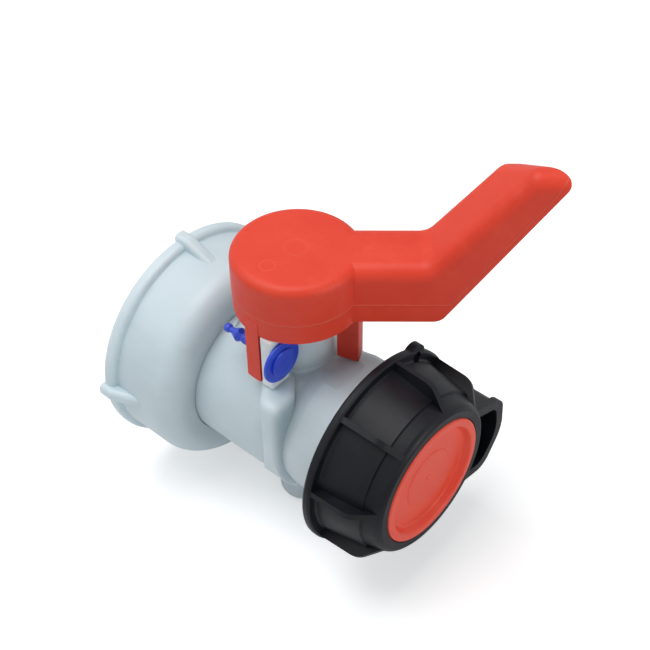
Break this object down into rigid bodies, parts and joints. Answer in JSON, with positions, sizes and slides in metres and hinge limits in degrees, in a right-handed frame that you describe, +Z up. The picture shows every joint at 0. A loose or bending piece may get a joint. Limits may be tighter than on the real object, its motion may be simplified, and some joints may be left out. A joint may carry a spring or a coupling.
{
  "type": "tank valve",
  "caption": "Butterfly outlet valve for a bulk liquid container, with a union nut at the inlet, a cranked lever and a screw cap on the outlet",
  "frame": {"origin": "centre of the union nut's open mouth, on the pipe axis", "axes": "+X along the pipe from inlet to outlet, +Z up the stem towards the lever"},
  "size_m": [0.138, 0.11, 0.1679],
  "materials": {
    "hdpe": "satin translucent polyethylene",
    "red_lever": "satin moulded polypropylene",
    "red_insert": "satin moulded polypropylene",
    "black_cap": "satin moulded polypropylene",
    "blue_rivet": "glossy moulded nylon",
    "white_acetal": "satin moulded acetal",
    "grey_stem": "glass-filled plastic",
    "seal": "moulded elastomer",
    "steel": "stainless"
  },
  "bodies": {
    "valve": {"valve_body": "hdpe", "inlet_collar": "white_acetal", "inlet_gasket": "seal", "nut_slip_washer": "white_acetal", "upper_bush": "white_acetal", "lower_bush": "white_acetal", "upper_stem_seals": "seal", "lower_stem_seal": "seal"},
    "spindle": {"stem": "grey_stem", "stem_clip": "steel", "butterfly_disc": "grey_stem", "disc_seal": "seal", "disc_cross_pin": "steel", "stem_hub": "white_acetal", "handle": "red_lever", "rivet_sleeve": "blue_rivet"},
    "lock_pin": {"rivet_pin": "blue_rivet"},
    "union": {"inlet_nut": "hdpe"},
    "cap_seal": {"cap_insert": "red_insert", "cap_gasket": "seal"},
    "cap": {"cap_nut": "black_cap"}
  },
  "joints": [
    {"name": "lever_turn", "type": "hinge", "parent": "valve", "child": "spindle", "pos_m": [0.0622, 0, 0], "axis": [0, 0, 1], "range_deg": [-40.5, 49.5]},
    {"name": "rivet_pin_pull", "type": "slide", "parent": "spindle", "child": "lock_pin", "axis": [1, 0, 0], "range_m": [0, 0.002]},
    {"name": "nut_spin", "type": "hinge", "parent": "valve", "child": "union", "pos_m": [0.015, 0, 0], "axis": [1, 0, 0], "continuous": true},
    {"name": "cap_travel", "type": "slide", "parent": "valve", "child": "cap_seal", "axis": [1, 0, 0], "range_m": [0, 0.027]},
    {"name": "cap_turn", "type": "hinge", "parent": "cap_seal", "child": "cap", "pos_m": [0.11, 0, 0], "axis": [1, 0, 0], "range_deg": [0, 1620]}
  ],
  "couplings": [
    {"joint": "cap_travel", "follows": "cap_turn", "m_per_rad": 0.00095493}
  ]
}
